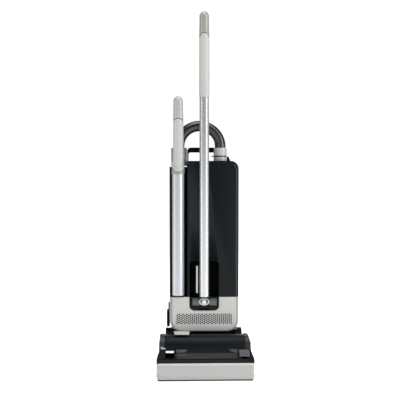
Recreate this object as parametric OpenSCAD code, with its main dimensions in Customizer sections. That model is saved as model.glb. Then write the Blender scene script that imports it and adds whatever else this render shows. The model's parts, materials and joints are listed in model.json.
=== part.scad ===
// Commercial upright vacuum cleaner.
// Millimetres. +Z up, +X to the right seen from the front, the front faces -Y.
// The origin is at the bottom centre of the machine's box.

/* [Floor head] */
// Width across the front bumper
head_w = 320; // [318:1:326]
// Distance from the origin to the front of the bumper
head_front = 165; // [164:0.5:168]
// Height of the bumper's top edge
bumper_top = 60; // [58:0.5:60]
// Outer radius of the brush motor cover
cover_r = 40; // [39.5:0.1:40]
// Overall width between the outer faces of the side cheeks
cheeks_w = 304; // [302:1:306]

/* [Brush and wheels] */
// Radius at the tips of the bristles
brush_r = 31; // [29:0.5:31]
// Radius of the brush core
brush_core_r = 16; // [15:0.5:17]
// Radius of a rear wheel at its tread
wheel_r = 45; // [43:0.5:45]
// Radius of a front roller
roller_r = 10; // [9:0.5:10]

/* [Upright body] */
// Width of the body
body_w = 235; // [234:0.5:236]
// Depth of the bag housing
body_depth = 143; // [142:0.5:143]
// Height of the joint between motor housing and bag housing
motor_top = 251.5; // [250:0.5:252]
// Height of the bag housing's top
body_top = 714; // [700:1:716]
// Thickness of the shells
wall = 3; // [2.5:0.1:3]

/* [Handle] */
// Diameter of the handle tube
tube_d = 32; // [30:0.5:32]
// Height of the very top of the handle grip
handle_top = 1215; // [1190:1:1230]
// Height where the handle grip begins
grip_start = 928; // [900:1:940]

/* [Wand and hose] */
// Diameter of the wand tube
wand_d = 42; // [41:0.5:42]
// Height of the top of the wand grip
wand_top = 932; // [920:1:940]
// Outer diameter of the hose
hose_d = 38; // [37:0.5:38]
// Height of the tops of the two hose cuffs
cuff_top = 759; // [757:1:761]

/* [Hidden] */
$fn = 64;

black = "#1c1f20";
soft_black = "#26292a";
anthracite = "#24282a";
light_grey = "#cbcac6";
bumper_grey = "#bec0ba";
warm_grey = "#b9bab4";
steel = "#b4b7ba";
silver = "#c9ccce";

// Gaps: a running fit on a shaft, and the air between separate bodies.
run_gap = 0.05;
press_gap = 0.03;
air_gap = 0.4;

// Floor head
head_x = head_w / 2;
cheek_x = cheeks_w / 2;
cheek_in = cheek_x - 18;
sole_z = 6;
brush_y = -110;
brush_z = 33;
tunnel_r = 33.5;
tunnel_left = -140;
tunnel_right = 130;
motor_y = -58;
motor_z = 92;
cover_half = 133;
head_back = 5;

// Sloping top cover: it rises from its front edge to the brush motor cover.
slope_y = -150;
slope_z = 69.5;
slope_run = 51;
slope_rise = 22.5;
slope_angle = atan2(slope_rise, slope_run);
cover_t = 4;

// Tilt axis and wheels
pivot_y = 65;
pivot_z = 85;
pivot_r = 46;
pin_r = 12;
arm_in = 119.5;
arm_out = 132.5;
wheel_y = 115;
wheel_in = 134.5;
wheel_w = 17;
axle_r = 6;
roller_y = -58;
roller_x = 70;
roller_axle_r = 3;

// Brush drive, in the right end of the head
belt_x = 136.2;
belt_w = 8;
brush_pulley_r = 14;
motor_pulley_r = 8;

// Upright body
body_x = body_w / 2;
body_front = -15;
body_back = body_front + body_depth;
body_corner = 9;
motor_bottom = 134;
motor_back = body_back + 6;
motor_split = 55;
bottom_corner = 40;
left_top = 694;
shoulder_r = 28;
channel_x = -84.75;
channel_y = -7.5;
channel_r = 27.75;
tube_y = -19;
groove_gap = 0.6;
recess_half = 50;
recess_top = 375;
recess_depth = 20;
recess_corner = 16;
handle_bolts_z = [420, 660];
bolt_r = 2.5;
grille_half = 98;
grille_low = 155;
grille_high = 199;
panel_half = 50;
panel_low = 205;
panel_corner = 17;
rocker_half = 16;
rocker_z = 213;
rocker_pin_r = 1.5;

// Bag door
door_half = 108;
door_low = 262;
door_high = 682;
door_y = body_back + 0.6;
door_t = 6;
hinge_y = 138;
hinge_z = 258;
hinge_pin_r = 2;
knuckle_r = 4;

// Suction motor, on a vertical axis
fan_x = 10;
fan_y = 62;

// Hose arch, in a plane parallel to the front
hose_y = 30;
hose_left = -85.2;
hose_right = 56.4;
hose_mid = (hose_left + hose_right) / 2;
hose_bend_r = (hose_right - hose_left) / 2;
hose_arch_z = 763;
hose_in_cuff = 748;

// Wand
wand_x = -89;
wand_y = -5;
wand_base = 257;
collar_low = 670;
grip_x = -87.5;
grip_y = -16;
wand_grip_r = 17.5;
wand_seam = 858;

// Main grip
grip_r = 17.5;
grip_seam = 1143;

// Upper cable hook
hook_x = 92;
hook_z = 694;
rear_reach = head_front;

// ---- Shared shapes ----

module box(x0, x1, y0, y1, z0, z1) {
    translate([x0, y0, z0]) cube([x1 - x0, y1 - y0, z1 - z0]);
}

module xcyl(x0, x1, y, z, r) {
    translate([x0, y, z]) rotate([0, 90, 0]) cylinder(r = r, h = x1 - x0);
}

module ycyl(x, y0, y1, z, r) {
    translate([x, y0, z]) rotate([-90, 0, 0]) cylinder(r = r, h = y1 - y0);
}

module zcyl(x, y, z0, z1, r) {
    translate([x, y, z0]) cylinder(r = r, h = z1 - z0);
}

// A rectangle with round corners, from true circles
module round_rect(x0, x1, y0, y1, r) {
    translate([x0 + r, y0]) square([x1 - x0 - 2 * r, y1 - y0]);
    translate([x0, y0 + r]) square([x1 - x0, y1 - y0 - 2 * r]);
    for (x = [x0 + r, x1 - r], y = [y0 + r, y1 - r])
        translate([x, y]) circle(r);
}

// Carries a side view (Y, Z) from x0 to x1
module side_view(x0, x1) {
    translate([x0, 0, 0]) rotate([90, 0, 90]) linear_extrude(x1 - x0) children();
}

// Carries a front view (X, Z) from y0 to y1
module front_view(y0, y1) {
    translate([0, y1, 0]) rotate([90, 0, 0]) linear_extrude(y1 - y0) children();
}

// Carries a plan (X, Y) from z0 to z1
module plan_view(z0, z1) {
    translate([0, 0, z0]) linear_extrude(z1 - z0) children();
}

// The material outside a round corner, which a shape then loses
module corner_waste(r) {
    difference() {
        translate([0, 0]) square(r + 1);
        circle(r);
    }
}

module both_sides() {
    children();
    mirror([1, 0, 0]) children();
}

// Puts a shape on the sloping cover: Y runs up the slope, Z stands off it
module on_slope() {
    translate([0, slope_y, slope_z]) rotate([slope_angle, 0, 0]) children();
}

// ---- Floor head ----

module head_base() {
    side_in = 145;
    side_out = 149;
    front_y = -152;
    tray_t = 4;
    window_half = 86;
    bearing_out = 96;
    bearing_r = 10;
    color(black) difference() {
        union() {
            xcyl(tunnel_left - wall, tunnel_right + wall, brush_y, brush_z, tunnel_r + wall);
            box(-side_out, side_out, front_y, head_back, sole_z, sole_z + tray_t);
            box(-side_out, side_out, front_y, front_y + tray_t, sole_z, bumper_top - 2);
            both_sides() box(side_in, side_out, front_y, head_back, sole_z, bumper_top - 1);
            box(-arm_in + 1, arm_in - 1, head_back - wall, head_back, sole_z, 50);
            both_sides() box(window_half, bearing_out, roller_y - 8, roller_y + 8, sole_z, 18);
        }
        xcyl(tunnel_left, tunnel_right, brush_y, brush_z, tunnel_r);
        xcyl(tunnel_left - 10, tunnel_right + 10, brush_y, brush_z, bearing_r + press_gap);
        box(-head_x, head_x, brush_y - 50, brush_y + 50, -40, sole_z);
        box(tunnel_left, tunnel_right, brush_y - 30, brush_y + 30, 0, sole_z + tray_t + 1);
        box(-window_half, window_half, roller_y - 12, roller_y + 12, 0, 19);
        xcyl(-bearing_out - 1, bearing_out + 1, roller_y, roller_r, roller_axle_r + run_gap);
    }
}

module sole_plate() {
    plate_half = 156;
    front_y = -160;
    low_z = 1.5;
    color(black) plan_view(low_z, sole_z - 0.2) difference() {
        round_rect(-plate_half, plate_half, front_y, head_back, 8);
        translate([tunnel_left, brush_y - 31]) square([tunnel_right - tunnel_left, 62]);
        translate([-99, roller_y - 12]) square([198, 24]);
    }
}

module front_bumper() {
    wing_back = -20;
    thick = 10;
    color(bumper_grey) plan_view(sole_z, bumper_top) difference() {
        round_rect(-head_x, head_x, -head_front, wing_back, 10);
        translate([-head_x + thick, -head_front + thick + 2])
            square([head_w - 2 * thick, head_front]);
        translate([-head_x - 1, wing_back - 10]) square([head_w + 2, 20]);
    }
}

// Side view of the sloping skin
module cover_skin() {
    polygon([[-163, bumper_top + 0.2], [slope_y, slope_z], [slope_y + slope_run, slope_z + slope_rise],
        [slope_y + slope_run, slope_z + slope_rise - cover_t], [slope_y + 2, slope_z - cover_t],
        [-156, bumper_top + 0.2]]);
}

module head_cover() {
    tab_hole = [-131, -101.5];
    slide_hole = [111.5, 146.5];
    color(soft_black) both_sides() side_view(cheek_x - wall, cheek_x) polygon([
        [slope_y + 6, bumper_top + 0.2], [slope_y + 6, slope_z - 2],
        [slope_y + slope_run, slope_z + slope_rise - cover_t], [slope_y + slope_run, bumper_top + 0.2]]);
    color(soft_black) difference() {
        intersection() {
            side_view(-head_x, head_x) cover_skin();
            plan_view(0, 120) polygon([[-159, -164], [159, -164], [159, -146], [cheek_x, -110],
                [cheek_x, -90], [-cheek_x, -90], [-cheek_x, -110], [-159, -146]]);
        }
        on_slope() box(tab_hole[0], tab_hole[1], 2, 44.6, -cover_t - 2, 2);
        on_slope() box(slide_hole[0], slide_hole[1], 2, 50.5, -1.5, 2);
        on_slope() box(slide_hole[0] + 8, slide_hole[1] - 8, 6, 46, -cover_t - 2, 2);
    }
}

module brush_motor_cover() {
    inner_r = 32.5;
    lug_r = 5;
    pocket = [-104, -49, 126];
    lugs = [-109.5, -49];
    hinge = [-23, 131.5];
    color("#20262c") difference() {
        union() {
            xcyl(-cover_half, cover_half, motor_y, motor_z, cover_r);
            box(-arm_in + 1, arm_in - 1, -2, 1.5, 12, 104);
            box(-arm_in + 1, arm_in - 1, -40, 1.5, 100, 104);
        }
        xcyl(-cover_half - 1, cover_half + 1, motor_y, motor_z, inner_r);
        box(pocket[0], pocket[1], -110, 0, pocket[2], 140);
    }
    color("#20262c") for (x = lugs) difference() {
        union() {
            box(x, x + 5, hinge[0] - lug_r, hinge[0] + lug_r, 103.5, hinge[1]);
            xcyl(x, x + 5, hinge[0], hinge[1], lug_r);
        }
        xcyl(x - 1, x + 6, hinge[0], hinge[1], 3 + run_gap);
        xcyl(x - 1, x + 6, motor_y, motor_z, cover_r + 0.02);
    }
}

module cheek_side(inset) {
    back_y = 62;
    low = bumper_top + 0.5 - 2 * inset;
    top = motor_z + cover_r - inset;
    union() {
        translate([motor_y, motor_z]) circle(cover_r - inset);
        translate([motor_y - cover_r + inset, low]) square([cover_r, motor_z - low]);
        polygon([[motor_y, low], [back_y - inset, low], [back_y - inset, top - 36],
            [back_y - 22, top - 20], [motor_y + 24, top - 1], [motor_y, top]]);
    }
}

module cheeks() {
    low = bumper_top + 0.5;
    color(soft_black) both_sides() difference() {
        intersection() {
            side_view(cheek_in, cheek_x) cheek_side(0);
            front_view(-120, 80) polygon([[cheek_in, low], [cheek_x, low], [cheek_x, 112],
                [cheek_x - 3, 122], [cheek_x - 9, 129], [cheek_in, 133]]);
        }
        side_view(cheek_in - 1, cheek_x - wall) cheek_side(wall);
        // Way for the belt, under the top cover
        box(cheek_in - 1, cheek_x - wall, -110, -80, 50, 80);
    }
}

// Arm between the head and the rear wheel; it carries the tilt axis
module pivot_arms() {
    root_low = 12;
    root_high = 62;
    color(black) both_sides() difference() {
        union() {
            xcyl(arm_in, arm_out, pivot_y, pivot_z, pivot_r);
            xcyl(arm_in, arm_out, wheel_y, wheel_r, 20);
            side_view(arm_in, arm_out) polygon([[head_back, root_low], [wheel_y, wheel_r - 20],
                [wheel_y + 17, wheel_r], [pivot_y + 36, pivot_z + 18], [pivot_y - 40, pivot_z + 22],
                [head_back, root_high]]);
        }
        xcyl(arm_in - 1, arm_out + 1, pivot_y, pivot_z, pin_r + press_gap);
        xcyl(arm_in - 1, arm_out + 1, wheel_y, wheel_r, axle_r + press_gap);
    }
}

module pivot_pins() {
    color(steel) both_sides() difference() {
        xcyl(101, arm_out, pivot_y, pivot_z, pin_r);
        xcyl(100, arm_out + 1, pivot_y, pivot_z, pin_r - 3);
    }
}

module wheel_axles() {
    color(steel) both_sides() {
        xcyl(arm_in, wheel_in + wheel_w + 0.5, wheel_y, wheel_r, axle_r);
        xcyl(wheel_in + wheel_w + 0.5, wheel_in + wheel_w + 2.5, wheel_y, wheel_r, axle_r + 3);
    }
}

module brush_motor() {
    color(steel) difference() {
        union() {
            xcyl(-60, 100, motor_y, motor_z, 30);
            xcyl(100, 108, motor_y, motor_z, 12);
        }
        xcyl(-50, 90, motor_y, motor_z, 20);
        xcyl(80, 109, motor_y, motor_z, 4 + run_gap);
    }
}

module belt_outline(extra) {
    hull() {
        translate([brush_y, brush_z]) circle(r = brush_pulley_r + extra, $fn = 48);
        translate([motor_y, motor_z]) circle(r = motor_pulley_r + extra, $fn = 48);
    }
}

module drive_belt() {
    color(black) side_view(belt_x + 0.5, belt_x + belt_w - 0.5) difference() {
        belt_outline(2.4);
        belt_outline(air_gap);
    }
}

module brush_bearings() {
    outer_r = 10;
    color(steel) for (x = [tunnel_left - 5, tunnel_right - 0.5]) difference() {
        xcyl(x, x + 5.5, brush_y, brush_z, outer_r);
        xcyl(x - 1, x + 7, brush_y, brush_z, axle_r + run_gap);
    }
}

module brush_core() {
    color("#3a3d3f") {
        xcyl(tunnel_left + 1.5, tunnel_right - 1.5, brush_y, brush_z, brush_core_r);
        xcyl(tunnel_left - 4.5, belt_x, brush_y, brush_z, axle_r);
        xcyl(belt_x, belt_x + belt_w, brush_y, brush_z, brush_pulley_r);
    }
}

// Rows of bristles round the core, in short steps that follow a slow helix
module brush_bristles() {
    rows = 4;
    steps = 10;
    row_t = 6;
    turn = 16;
    length = tunnel_right - tunnel_left - 6;
    step = length / steps;
    color("#101112") for (k = [0 : steps - 1], i = [0 : rows - 1])
        translate([tunnel_left + 3 + k * step, brush_y, brush_z])
            rotate([i * 360 / rows + k * turn, 0, 0])
                translate([0, brush_core_r + 0.4, -row_t / 2])
                    cube([step - 1, brush_r - brush_core_r - 0.6, row_t]);
}

module motor_pinion() {
    color(steel) {
        xcyl(-48, 78, motor_y, motor_z, 18.5);
        xcyl(78, belt_x + belt_w, motor_y, motor_z, 4);
        xcyl(belt_x, belt_x + belt_w, motor_y, motor_z, motor_pulley_r);
    }
}

module wheel_hub(x0) {
    hub_r = 34;
    dish = 5;
    color("#8b8e8c") difference() {
        xcyl(x0, x0 + wheel_w, wheel_y, wheel_r, hub_r);
        difference() {
            xcyl(x0 + wheel_w - dish, x0 + wheel_w + 1, wheel_y, wheel_r, hub_r - 5);
            xcyl(x0 + wheel_w - dish - 1, x0 + wheel_w + 2, wheel_y, wheel_r, axle_r + 6);
        }
        xcyl(x0 - 1, x0 + wheel_w + 1, wheel_y, wheel_r, axle_r + run_gap);
    }
}

module wheel_tyre(x0) {
    color(black) translate([x0, wheel_y, wheel_r]) rotate([0, 90, 0]) rotate_extrude()
        round_rect(34, wheel_r, 0, wheel_w, 3);
}

module wheel_right() {
    wheel_hub(wheel_in);
}

module wheel_left() {
    mirror([1, 0, 0]) wheel_hub(wheel_in);
}

module tyre_right() {
    wheel_tyre(wheel_in);
}

module tyre_left() {
    mirror([1, 0, 0]) wheel_tyre(wheel_in);
}

module front_rollers() {
    half_w = 12;
    color(black) {
        xcyl(-94, 94, roller_y, roller_r, roller_axle_r);
        for (x = [-roller_x, roller_x]) difference() {
            xcyl(x - half_w, x + half_w, roller_y, roller_r, roller_r);
            xcyl(x - half_w - 1, x + half_w + 1, roller_y, roller_r, roller_axle_r);
        }
    }
}

module tilt_pedal() {
    left = -101;
    right = -52;
    hinge = [-23, 131.5];
    color(light_grey) {
        side_view(left, right) polygon([[-19, 131.5], [-19, 136], [-70, 141.5], [-72.5, 139.5],
            [-72.5, 134], [-69, 134], [-68, 137.5], [-30, 131.5], [-26, 129], [-20, 129]]);
        xcyl(left - 8, left, hinge[0], hinge[1], 3);
        xcyl(right, right + 7.5, hinge[0], hinge[1], 3);
    }
}

// White tab that frees the brush; it slides down the slope
module release_tab() {
    color("#f2f3f2") on_slope() {
        box(-129.5, -102.8, 34, 44, -cover_t - 0.6, 1.6);
        box(-133, -99.5, 28, 46, -cover_t - 2.6, -cover_t - 0.6);
    }
}

module height_slide() {
    color("#55585d") on_slope() {
        box(112.2, 145.8, 14, 50, -1, 0.8);
        box(120, 138, 18, 34, -cover_t - 0.6, -1);
        box(117, 141, 16, 36, -cover_t - 2.6, -cover_t - 0.6);
    }
}

// ---- Upright body ----

// Plan of the body; a larger inset gives the hollow inside the shell
module body_plan(inset, back) {
    round_rect(-body_x + inset, body_x - inset, body_front + inset, back - inset,
        body_corner - inset);
}

// Plan of the bag housing, less the wand's channel and the handle tube's groove
module housing_plan(inset) {
    difference() {
        body_plan(inset, body_back);
        translate([channel_x - channel_r - inset, body_front - 5])
            square([2 * (channel_r + inset), channel_y - body_front + 5]);
        translate([channel_x, channel_y]) circle(channel_r + inset);
        translate([0, tube_y]) circle(tube_d / 2 + groove_gap + inset);
    }
}

module housing_front(inset, low) {
    r = shoulder_r - inset;
    difference() {
        translate([-body_x, low]) square([body_w, body_top - inset - low]);
        translate([-body_x - 1, left_top - inset])
            square([channel_x + channel_r + body_x + 1 + inset, body_top]);
        translate([body_x - inset - r, body_top - inset - r]) corner_waste(r + 0.01);
    }
}

module arch_recess(inset) {
    difference() {
        translate([-recess_half - inset, motor_top - 1])
            square([2 * (recess_half + inset), recess_top - motor_top + 1 + inset]);
        for (s = [-1, 1]) scale([s, 1, 1])
            translate([recess_half - recess_corner, recess_top - recess_corner])
                corner_waste(recess_corner + inset);
    }
}

module bag_housing() {
    frame_t = 5;
    outlet_r = 40;
    color(anthracite) difference() {
        intersection() {
            plan_view(motor_top, body_top) housing_plan(0);
            front_view(body_front - 1, body_back + 1) housing_front(0, motor_top);
        }
        difference() {
            intersection() {
                plan_view(motor_top + wall, body_top) housing_plan(wall);
                front_view(body_front, body_back) housing_front(wall, motor_top + wall);
            }
            front_view(body_front - 1, body_front + recess_depth + wall) arch_recess(wall);
        }
        front_view(body_front - 1, body_front + recess_depth) arch_recess(0);
        box(-door_half + 4, door_half - 4, body_back - frame_t, body_back + 1, door_low + 6,
            door_high - 6);
        zcyl(fan_x, fan_y, motor_top - 1, motor_top + wall + 1, outlet_r);
        zcyl(hose_right, hose_y, body_top - wall - 1, body_top + 1, 18);
        for (z = handle_bolts_z) ycyl(0, tube_y, body_front + 20, z, bolt_r + press_gap);
    }
    // Ledge under the foot of the handle tube
    color(anthracite) plan_view(motor_top, motor_top + 2) {
        translate([-18, tube_y]) square([36, body_front + recess_depth - tube_y]);
        translate([0, tube_y]) circle(18);
    }
    // Door knuckles at each end of the hinge
    color(anthracite) for (x = [-104, 84]) difference() {
        union() {
            xcyl(x, x + 20, hinge_y, hinge_z, knuckle_r);
            box(x, x + 20, body_back, hinge_y, hinge_z - knuckle_r, hinge_z);
        }
        xcyl(x - 1, x + 21, hinge_y, hinge_z, hinge_pin_r + press_gap);
    }
    // Boss of the upper cable hook
    color(anthracite) ycyl(hook_x, body_back, body_back + 6, hook_z, 9);
}

module motor_front_view(inset) {
    r = bottom_corner - inset;
    difference() {
        translate([-body_x, motor_bottom + inset]) square([body_w, motor_top - motor_bottom]);
        for (s = [-1, 1]) scale([s, 1, 1])
            translate([body_x - inset - r, motor_bottom + inset + r]) scale([1, -1, 1])
                corner_waste(r + 0.01);
    }
}

module motor_shell() {
    difference() {
        intersection() {
            plan_view(motor_bottom, motor_top) body_plan(0, motor_back);
            front_view(body_front - 1, motor_back + 1) motor_front_view(0);
        }
        intersection() {
            plan_view(motor_bottom + wall, motor_top + 1) body_plan(wall, motor_back);
            front_view(body_front, motor_back) motor_front_view(wall);
        }
    }
}

module panel_outline(gap) {
    round_rect(-panel_half - gap, panel_half + gap, panel_low - gap, motor_top + 30,
        panel_corner + gap);
}

module grille_outline(gap) {
    round_rect(-grille_half - gap, grille_half + gap, grille_low - gap, grille_high + gap, 6 + gap);
}

module motor_housing_front() {
    color(light_grey) {
        difference() {
            motor_shell();
            box(-body_x - 1, body_x + 1, motor_split, motor_back + 1, motor_bottom - 1, motor_top + 1);
            front_view(body_front - 1, body_front + 5) panel_outline(0);
            front_view(body_front - 1, body_front + 5) grille_outline(0);
        }
        box(103, 113.5, 16, 40, motor_bottom, motor_bottom + 14);
    }
}

module motor_housing_rear() {
    screw_x = 96;
    color(anthracite) difference() {
        motor_shell();
        box(-body_x - 1, body_x + 1, body_front - 1, motor_split + 0.2, motor_bottom - 1, motor_top + 1);
        for (x = [-screw_x, screw_x], z = [190, 240])
            ycyl(x, motor_back - wall - 1, motor_back + 1, z, 2 + press_gap);
        ycyl(60, motor_back - wall - 1, motor_back + 1, 168, 9 + press_gap);
    }
}

module upright_base() {
    half = 118.6;
    neck_half = 112;
    color(black) difference() {
        union() {
            xcyl(-half, half, pivot_y, pivot_z, pivot_r);
            box(-neck_half, neck_half, pivot_y - 43, pivot_y + 43, pivot_z, motor_bottom);
        }
        xcyl(-96, 96, pivot_y, pivot_z, pivot_r - 6);
        xcyl(-half - 1, half + 1, pivot_y, pivot_z, pin_r + run_gap);
    }
}

module exhaust_grille() {
    columns = 29;
    rows = 5;
    pitch_x = 6.55;
    pitch_z = 7;
    hole_r = 2;
    low_z = 162;
    color(light_grey) front_view(body_front + 0.2, body_front + wall) difference() {
        grille_outline(-0.05);
        for (i = [0 : columns - 1], j = [0 : rows - 1])
            translate([(i - (columns - 1) / 2) * pitch_x, low_z + j * pitch_z + (i % 2) * pitch_z / 2 - 1])
                circle(hole_r, $fn = 16);
    }
}

module exhaust_filter() {
    color("#e6e4da") box(-94, 94, -8, 8, grille_low + 2, grille_high - 2);
}

module control_panel() {
    color(soft_black) difference() {
        intersection() {
            front_view(body_front + 0.8, body_front + 6) panel_outline(-0.05);
            box(-60, 60, -30, 0, panel_low, motor_top - 0.2);
        }
        for (x = [[-40, -15], [18, 43]]) box(x[0], x[1], -20, body_front + 2.5, 222, 247);
        box(-16.4, 16.4, -20, 0, 206.6, 219.4);
        xcyl(-rocker_half - 2.8, rocker_half + 2.8, body_front + 6, rocker_z, rocker_pin_r + run_gap);
    }
}

module badge() {
    color(silver) translate([0, body_front + 0.8, 235]) rotate([90, 0, 0]) scale([18, 13, 1])
        cylinder(r = 1, h = 3, $fn = 48);
}

module indicator_lenses() {
    color("#5d6a6c") for (x = [[-40, -15], [18, 43]])
        box(x[0] + 0.1, x[1] - 0.1, body_front + 1, body_front + 2.5, 222.1, 246.9);
}

// Rocker that turns on stubs held in the panel's back
module power_switch() {
    low = rocker_z - 5;
    high = rocker_z + 5;
    color(black) {
        side_view(-rocker_half, rocker_half) polygon([[body_front - 0.2, low],
            [body_front + 1.2, rocker_z], [body_front - 0.2, high], [body_front + 4, high],
            [body_front + 8, rocker_z], [body_front + 4, low]]);
        xcyl(-rocker_half - 2.4, rocker_half + 2.4, body_front + 6, rocker_z, rocker_pin_r);
    }
}

module suction_motor() {
    color(steel) difference() {
        union() {
            zcyl(fan_x, fan_y, 160, 222, 46);
            zcyl(fan_x, fan_y, 220, 244, 58);
        }
        zcyl(fan_x, fan_y, 166, 216, 35);
        zcyl(fan_x, fan_y, 215, 224, 5 + run_gap);
        zcyl(fan_x, fan_y, 223, 242, 55);
        zcyl(fan_x, fan_y, 240, 245, 22);
        zcyl(fan_x, fan_y, 158, 167, 5 + run_gap);
    }
}

module motor_fan() {
    blades = 9;
    color(silver) {
        zcyl(fan_x, fan_y, 162, 240, 5);
        zcyl(fan_x, fan_y, 170, 212, 33);
        zcyl(fan_x, fan_y, 224, 227, 53);
        for (i = [0 : blades - 1])
            translate([fan_x, fan_y, 227]) rotate(i * 360 / blades) translate([18, -1, 0])
                cube([33, 2, 11]);
    }
}

module motor_seals() {
    color(black) {
        difference() {
            zcyl(fan_x, fan_y, 244, 251, 58);
            zcyl(fan_x, fan_y, 243, 252, 46);
        }
        difference() {
            zcyl(fan_x, fan_y, 150, 160, 46);
            zcyl(fan_x, fan_y, 149, 161, 36);
        }
        zcyl(fan_x, fan_y, 137, 150, 46);
    }
}

// Flat air duct up the left side of the body
module duct_elbow() {
    side = -body_x - 0.3;
    color(black) difference() {
        union() {
            side_view(side - 10.2, side) round_rect(42, 88, 138, 194, 8);
            side_view(side - 5, side) round_rect(48, 82, 180, 220, 6);
        }
        box(side - 7.7, side + 1, 46, 84, 142, 190);
    }
}

module wand_socket() {
    color(black) difference() {
        union() {
            zcyl(wand_x, wand_y, motor_top, motor_top + 4, 23);
            zcyl(wand_x, wand_y, motor_top, motor_top + 24, 19.2);
        }
        zcyl(wand_x, wand_y, motor_top - 1, motor_top + 25, 17);
        box(-140, -40, -40, body_front, motor_top - 1, motor_top + 5);
    }
}

module pre_motor_filter() {
    color("#5b6a78") box(-46, 104, 14, 116, motor_top + wall, motor_top + wall + 12);
}

module dust_bag() {
    color("#d9d2c0") plan_view(272, 686) round_rect(-48, 108, 14, 118, 18);
}

module bag_collar() {
    color("#b79f77") plan_view(686, 690) difference() {
        round_rect(20, 92, 16, 66, 6);
        translate([hose_right, hose_y + 10]) circle(17);
    }
}

module hose_cuff() {
    outer_r = 22.8;
    color(light_grey) difference() {
        union() {
            zcyl(hose_right, hose_y, body_top, cuff_top, outer_r);
            zcyl(hose_right, hose_y, body_top - 12, body_top, 17.7);
        }
        zcyl(hose_right, hose_y, hose_in_cuff, cuff_top + 1, hose_d / 2 + 0.2);
        zcyl(hose_right, hose_y, body_top - 13, hose_in_cuff + 1, 15);
        difference() {
            zcyl(hose_right, hose_y, 728, 732, outer_r + 1);
            zcyl(hose_right, hose_y, 727, 733, outer_r - 2);
        }
    }
}

module cuff_ring() {
    color(black) {
        difference() {
            zcyl(hose_right, hose_y, 728.2, 731.8, 22);
            zcyl(hose_right, hose_y, 728, 732, 20.85);
        }
        xcyl(26, hose_right - 21.5, hose_y, 730, 1.7);
    }
}

module hose() {
    color(black) {
        translate([hose_mid, hose_y, hose_arch_z]) rotate([90, 0, 0])
            rotate_extrude(angle = 180) translate([hose_bend_r, 0]) circle(hose_d / 2);
        for (x = [hose_left, hose_right])
            zcyl(x, hose_y, hose_in_cuff + 0.3, hose_arch_z, hose_d / 2);
    }
}

module carry_handle() {
    left = -56.5;
    right = 66;
    bar = 17;
    top = 761;
    color(black) front_view(58, 82) difference() {
        round_rect(left, right, body_top - 12, top, 12);
        round_rect(left + 4.5, right - 6, body_top - 13, top - bar, 7);
        translate([left - 1, body_top - 20]) square([right - left + 2, 20]);
    }
}

module fill_gauge() {
    gauge_y = body_front + recess_depth;
    color("#f4f5f5") box(-27, -21, gauge_y - 5, gauge_y, 262, 356);
}

module handle_tube() {
    wall_t = 1.5;
    foot = motor_top + 2;
    color(silver) difference() {
        zcyl(0, tube_y, foot, grip_start, tube_d / 2);
        zcyl(0, tube_y, foot - 1, grip_start + 1, tube_d / 2 - wall_t);
        for (z = handle_bolts_z) ycyl(0, tube_y, 0, z, bolt_r + press_gap);
    }
}

module handle_grip() {
    color(warm_grey) {
        zcyl(0, tube_y, grip_start, grip_seam, grip_r);
        zcyl(0, tube_y, grip_start - 40, grip_start, tube_d / 2 - 1.6);
    }
}

module handle_cap() {
    dome_z = handle_top - grip_r;
    color("#9a9c93") {
        zcyl(0, tube_y, grip_seam, dome_z, grip_r);
        translate([0, tube_y, dome_z]) intersection() {
            sphere(grip_r);
            translate([-30, -30, 0]) cube(60);
        }
    }
}

module cable_hook_lower() {
    low_z = 206;
    tip = 5;
    color(black) {
        box(82, 102, motor_back, motor_back + 4, low_z, low_z + 30);
        box(84, 100, motor_back, rear_reach, low_z + 14, low_z + 19);
        box(84, 100, rear_reach - tip, rear_reach, low_z, low_z + 14);
    }
}

module cable_hook_upper() {
    back = body_back + 8;
    tip = 5;
    color(black) {
        difference() {
            union() {
                ycyl(hook_x, back, back + 4, hook_z, 10);
                box(hook_x - 8, hook_x + 8, back, back + 4, hook_z, hook_z + 18);
            }
            ycyl(hook_x, back - 1, back + 5, hook_z, 3 + run_gap);
        }
        box(hook_x - 8, hook_x + 8, back, rear_reach, hook_z + 14, hook_z + 19);
        front_view(rear_reach - tip, rear_reach)
            polygon([[hook_x - 7, hook_z + 14], [hook_x + 9, hook_z + 14], [hook_x + 9, hook_z + 19],
                [hook_x + 1, hook_z + 38], [hook_x - 7, hook_z + 36]]);
    }
}

module mains_inlet() {
    gland_r = 9;
    cord_hole_r = 4.2;
    color(black) difference() {
        union() {
            ycyl(60, motor_back - wall, motor_back + 9, 168, gland_r);
            ycyl(60, motor_back, motor_back + 3, 168, gland_r + 3);
        }
        ycyl(60, motor_back - wall - 1, motor_back + 10, 168, cord_hole_r);
    }
}

// Screws of the rear housing, bolts of the handle tube and pin of the upper cable hook
module housing_screws() {
    color(steel) {
        for (x = [-96, 96], z = [190, 240]) {
            ycyl(x, motor_back - 8, motor_back, z, 2);
            ycyl(x, motor_back, motor_back + 2, z, 4);
        }
        for (z = handle_bolts_z) {
            ycyl(0, tube_y + 9, tube_y + 21, z, bolt_r);
            ycyl(0, tube_y + 21, tube_y + 24, z, 4.5);
        }
        ycyl(hook_x, body_back + 6, body_back + 12.5, hook_z, 3);
        ycyl(hook_x, body_back + 12.5, body_back + 14, hook_z, 5);
    }
}

module bag_door() {
    rib_t = 2;
    color(anthracite) difference() {
        union() {
            front_view(door_y, door_y + door_t)
                round_rect(-door_half, door_half, door_low, door_high, 12);
            for (x = [-83.4, 4]) {
                xcyl(x, x + 79, hinge_y, hinge_z, knuckle_r);
                box(x, x + 79, hinge_y - knuckle_r, hinge_y - 0.5, hinge_z, door_low + 4);
            }
        }
        box(-door_half + 6, door_half - 6, door_y - 1, door_y + door_t - rib_t - 1, door_low + 6,
            door_high - 6);
        xcyl(-90, 90, hinge_y, hinge_z, hinge_pin_r + run_gap);
        box(-6.5, 6.5, door_y, door_y + door_t + 1, 638, 659);
    }
}

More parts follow.
